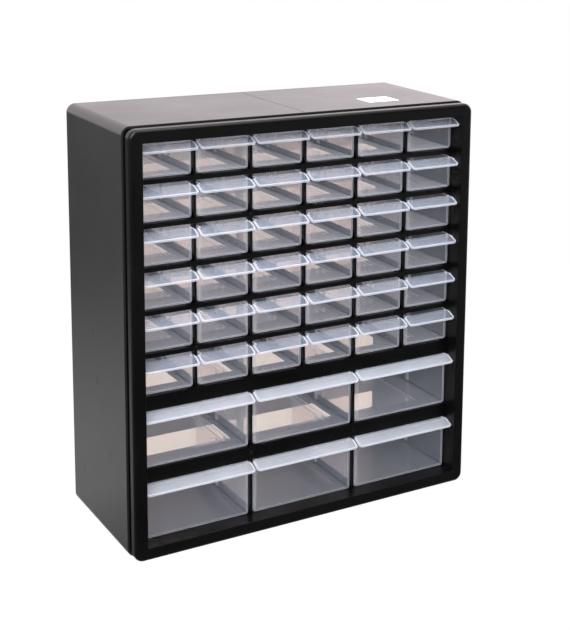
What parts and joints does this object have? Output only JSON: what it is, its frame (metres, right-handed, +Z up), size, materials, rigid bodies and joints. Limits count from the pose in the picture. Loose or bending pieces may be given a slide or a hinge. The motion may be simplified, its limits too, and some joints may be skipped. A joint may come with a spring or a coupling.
{
  "type": "parts organizer cabinet",
  "caption": "Moulded wall or bench cabinet whose rows of clear open-top drawers slide out of a dark lattice front.",
  "frame": {"origin": "centre of the cabinet's footprint, on the surface it stands on", "axes": "+X to the right seen from the front, drawers face and slide out along -Y, +Z up"},
  "size_m": [0.38, 0.168, 0.4223],
  "materials": {
    "black_plastic": "fine satin texture",
    "clear_plastic": "frosted clear, slightly blue",
    "label_paper": "plain coated paper"
  },
  "bodies": {
    "cabinet": {"housing_shell": "black_plastic", "front_frame": "black_plastic", "top_label": "label_paper"},
    "small_drawer_r1_c1": {"small_drawer_r1_c1": "clear_plastic"},
    "small_drawer_r1_c2": {"small_drawer_r1_c2": "clear_plastic"},
    "small_drawer_r1_c3": {"small_drawer_r1_c3": "clear_plastic"},
    "small_drawer_r1_c4": {"small_drawer_r1_c4": "clear_plastic"},
    "small_drawer_r1_c5": {"small_drawer_r1_c5": "clear_plastic"},
    "small_drawer_r1_c6": {"small_drawer_r1_c6": "clear_plastic"},
    "small_drawer_r2_c1": {"small_drawer_r2_c1": "clear_plastic"},
    "small_drawer_r2_c2": {"small_drawer_r2_c2": "clear_plastic"},
    "small_drawer_r2_c3": {"small_drawer_r2_c3": "clear_plastic"},
    "small_drawer_r2_c4": {"small_drawer_r2_c4": "clear_plastic"},
    "small_drawer_r2_c5": {"small_drawer_r2_c5": "clear_plastic"},
    "small_drawer_r2_c6": {"small_drawer_r2_c6": "clear_plastic"},
    "small_drawer_r3_c1": {"small_drawer_r3_c1": "clear_plastic"},
    "small_drawer_r3_c2": {"small_drawer_r3_c2": "clear_plastic"},
    "small_drawer_r3_c3": {"small_drawer_r3_c3": "clear_plastic"},
    "small_drawer_r3_c4": {"small_drawer_r3_c4": "clear_plastic"},
    "small_drawer_r3_c5": {"small_drawer_r3_c5": "clear_plastic"},
    "small_drawer_r3_c6": {"small_drawer_r3_c6": "clear_plastic"},
    "small_drawer_r4_c1": {"small_drawer_r4_c1": "clear_plastic"},
    "small_drawer_r4_c2": {"small_drawer_r4_c2": "clear_plastic"},
    "small_drawer_r4_c3": {"small_drawer_r4_c3": "clear_plastic"},
    "small_drawer_r4_c4": {"small_drawer_r4_c4": "clear_plastic"},
    "small_drawer_r4_c5": {"small_drawer_r4_c5": "clear_plastic"},
    "small_drawer_r4_c6": {"small_drawer_r4_c6": "clear_plastic"},
    "small_drawer_r5_c1": {"small_drawer_r5_c1": "clear_plastic"},
    "small_drawer_r5_c2": {"small_drawer_r5_c2": "clear_plastic"},
    "small_drawer_r5_c3": {"small_drawer_r5_c3": "clear_plastic"},
    "small_drawer_r5_c4": {"small_drawer_r5_c4": "clear_plastic"},
    "small_drawer_r5_c5": {"small_drawer_r5_c5": "clear_plastic"},
    "small_drawer_r5_c6": {"small_drawer_r5_c6": "clear_plastic"},
    "small_drawer_r6_c1": {"small_drawer_r6_c1": "clear_plastic"},
    "small_drawer_r6_c2": {"small_drawer_r6_c2": "clear_plastic"},
    "small_drawer_r6_c3": {"small_drawer_r6_c3": "clear_plastic"},
    "small_drawer_r6_c4": {"small_drawer_r6_c4": "clear_plastic"},
    "small_drawer_r6_c5": {"small_drawer_r6_c5": "clear_plastic"},
    "small_drawer_r6_c6": {"small_drawer_r6_c6": "clear_plastic"},
    "large_drawer_r1_c1": {"large_drawer_r1_c1": "clear_plastic"},
    "large_drawer_r1_c2": {"large_drawer_r1_c2": "clear_plastic"},
    "large_drawer_r1_c3": {"large_drawer_r1_c3": "clear_plastic"},
    "large_drawer_r2_c1": {"large_drawer_r2_c1": "clear_plastic"},
    "large_drawer_r2_c2": {"large_drawer_r2_c2": "clear_plastic"},
    "large_drawer_r2_c3": {"large_drawer_r2_c3": "clear_plastic"}
  },
  "joints": [
    {"name": "small_drawer_r1_c1_slide", "type": "slide", "parent": "cabinet", "child": "small_drawer_r1_c1", "axis": [0, -1, 0], "range_m": [0, 0.11]},
    {"name": "small_drawer_r1_c2_slide", "type": "slide", "parent": "cabinet", "child": "small_drawer_r1_c2", "axis": [0, -1, 0], "range_m": [0, 0.11]},
    {"name": "small_drawer_r1_c3_slide", "type": "slide", "parent": "cabinet", "child": "small_drawer_r1_c3", "axis": [0, -1, 0], "range_m": [0, 0.11]},
    {"name": "small_drawer_r1_c4_slide", "type": "slide", "parent": "cabinet", "child": "small_drawer_r1_c4", "axis": [0, -1, 0], "range_m": [0, 0.11]},
    {"name": "small_drawer_r1_c5_slide", "type": "slide", "parent": "cabinet", "child": "small_drawer_r1_c5", "axis": [0, -1, 0], "range_m": [0, 0.11]},
    {"name": "small_drawer_r1_c6_slide", "type": "slide", "parent": "cabinet", "child": "small_drawer_r1_c6", "axis": [0, -1, 0], "range_m": [0, 0.11]},
    {"name": "small_drawer_r2_c1_slide", "type": "slide", "parent": "cabinet", "child": "small_drawer_r2_c1", "axis": [0, -1, 0], "range_m": [0, 0.11]},
    {"name": "small_drawer_r2_c2_slide", "type": "slide", "parent": "cabinet", "child": "small_drawer_r2_c2", "axis": [0, -1, 0], "range_m": [0, 0.11]},
    {"name": "small_drawer_r2_c3_slide", "type": "slide", "parent": "cabinet", "child": "small_drawer_r2_c3", "axis": [0, -1, 0], "range_m": [0, 0.11]},
    {"name": "small_drawer_r2_c4_slide", "type": "slide", "parent": "cabinet", "child": "small_drawer_r2_c4", "axis": [0, -1, 0], "range_m": [0, 0.11]},
    {"name": "small_drawer_r2_c5_slide", "type": "slide", "parent": "cabinet", "child": "small_drawer_r2_c5", "axis": [0, -1, 0], "range_m": [0, 0.11]},
    {"name": "small_drawer_r2_c6_slide", "type": "slide", "parent": "cabinet", "child": "small_drawer_r2_c6", "axis": [0, -1, 0], "range_m": [0, 0.11]},
    {"name": "small_drawer_r3_c1_slide", "type": "slide", "parent": "cabinet", "child": "small_drawer_r3_c1", "axis": [0, -1, 0], "range_m": [0, 0.11]},
    {"name": "small_drawer_r3_c2_slide", "type": "slide", "parent": "cabinet", "child": "small_drawer_r3_c2", "axis": [0, -1, 0], "range_m": [0, 0.11]},
    {"name": "small_drawer_r3_c3_slide", "type": "slide", "parent": "cabinet", "child": "small_drawer_r3_c3", "axis": [0, -1, 0], "range_m": [0, 0.11]},
    {"name": "small_drawer_r3_c4_slide", "type": "slide", "parent": "cabinet", "child": "small_drawer_r3_c4", "axis": [0, -1, 0], "range_m": [0, 0.11]},
    {"name": "small_drawer_r3_c5_slide", "type": "slide", "parent": "cabinet", "child": "small_drawer_r3_c5", "axis": [0, -1, 0], "range_m": [0, 0.11]},
    {"name": "small_drawer_r3_c6_slide", "type": "slide", "parent": "cabinet", "child": "small_drawer_r3_c6", "axis": [0, -1, 0], "range_m": [0, 0.11]},
    {"name": "small_drawer_r4_c1_slide", "type": "slide", "parent": "cabinet", "child": "small_drawer_r4_c1", "axis": [0, -1, 0], "range_m": [0, 0.11]},
    {"name": "small_drawer_r4_c2_slide", "type": "slide", "parent": "cabinet", "child": "small_drawer_r4_c2", "axis": [0, -1, 0], "range_m": [0, 0.11]},
    {"name": "small_drawer_r4_c3_slide", "type": "slide", "parent": "cabinet", "child": "small_drawer_r4_c3", "axis": [0, -1, 0], "range_m": [0, 0.11]},
    {"name": "small_drawer_r4_c4_slide", "type": "slide", "parent": "cabinet", "child": "small_drawer_r4_c4", "axis": [0, -1, 0], "range_m": [0, 0.11]},
    {"name": "small_drawer_r4_c5_slide", "type": "slide", "parent": "cabinet", "child": "small_drawer_r4_c5", "axis": [0, -1, 0], "range_m": [0, 0.11]},
    {"name": "small_drawer_r4_c6_slide", "type": "slide", "parent": "cabinet", "child": "small_drawer_r4_c6", "axis": [0, -1, 0], "range_m": [0, 0.11]},
    {"name": "small_drawer_r5_c1_slide", "type": "slide", "parent": "cabinet", "child": "small_drawer_r5_c1", "axis": [0, -1, 0], "range_m": [0, 0.11]},
    {"name": "small_drawer_r5_c2_slide", "type": "slide", "parent": "cabinet", "child": "small_drawer_r5_c2", "axis": [0, -1, 0], "range_m": [0, 0.11]},
    {"name": "small_drawer_r5_c3_slide", "type": "slide", "parent": "cabinet", "child": "small_drawer_r5_c3", "axis": [0, -1, 0], "range_m": [0, 0.11]},
    {"name": "small_drawer_r5_c4_slide", "type": "slide", "parent": "cabinet", "child": "small_drawer_r5_c4", "axis": [0, -1, 0], "range_m": [0, 0.11]},
    {"name": "small_drawer_r5_c5_slide", "type": "slide", "parent": "cabinet", "child": "small_drawer_r5_c5", "axis": [0, -1, 0], "range_m": [0, 0.11]},
    {"name": "small_drawer_r5_c6_slide", "type": "slide", "parent": "cabinet", "child": "small_drawer_r5_c6", "axis": [0, -1, 0], "range_m": [0, 0.11]},
    {"name": "small_drawer_r6_c1_slide", "type": "slide", "parent": "cabinet", "child": "small_drawer_r6_c1", "axis": [0, -1, 0], "range_m": [0, 0.11]},
    {"name": "small_drawer_r6_c2_slide", "type": "slide", "parent": "cabinet", "child": "small_drawer_r6_c2", "axis": [0, -1, 0], "range_m": [0, 0.11]},
    {"name": "small_drawer_r6_c3_slide", "type": "slide", "parent": "cabinet", "child": "small_drawer_r6_c3", "axis": [0, -1, 0], "range_m": [0, 0.11]},
    {"name": "small_drawer_r6_c4_slide", "type": "slide", "parent": "cabinet", "child": "small_drawer_r6_c4", "axis": [0, -1, 0], "range_m": [0, 0.11]},
    {"name": "small_drawer_r6_c5_slide", "type": "slide", "parent": "cabinet", "child": "small_drawer_r6_c5", "axis": [0, -1, 0], "range_m": [0, 0.11]},
    {"name": "small_drawer_r6_c6_slide", "type": "slide", "parent": "cabinet", "child": "small_drawer_r6_c6", "axis": [0, -1, 0], "range_m": [0, 0.11]},
    {"name": "large_drawer_r1_c1_slide", "type": "slide", "parent": "cabinet", "child": "large_drawer_r1_c1", "axis": [0, -1, 0], "range_m": [0, 0.11]},
    {"name": "large_drawer_r1_c2_slide", "type": "slide", "parent": "cabinet", "child": "large_drawer_r1_c2", "axis": [0, -1, 0], "range_m": [0, 0.11]},
    {"name": "large_drawer_r1_c3_slide", "type": "slide", "parent": "cabinet", "child": "large_drawer_r1_c3", "axis": [0, -1, 0], "range_m": [0, 0.11]},
    {"name": "large_drawer_r2_c1_slide", "type": "slide", "parent": "cabinet", "child": "large_drawer_r2_c1", "axis": [0, -1, 0], "range_m": [0, 0.11]},
    {"name": "large_drawer_r2_c2_slide", "type": "slide", "parent": "cabinet", "child": "large_drawer_r2_c2", "axis": [0, -1, 0], "range_m": [0, 0.11]},
    {"name": "large_drawer_r2_c3_slide", "type": "slide", "parent": "cabinet", "child": "large_drawer_r2_c3", "axis": [0, -1, 0], "range_m": [0, 0.11]}
  ]
}
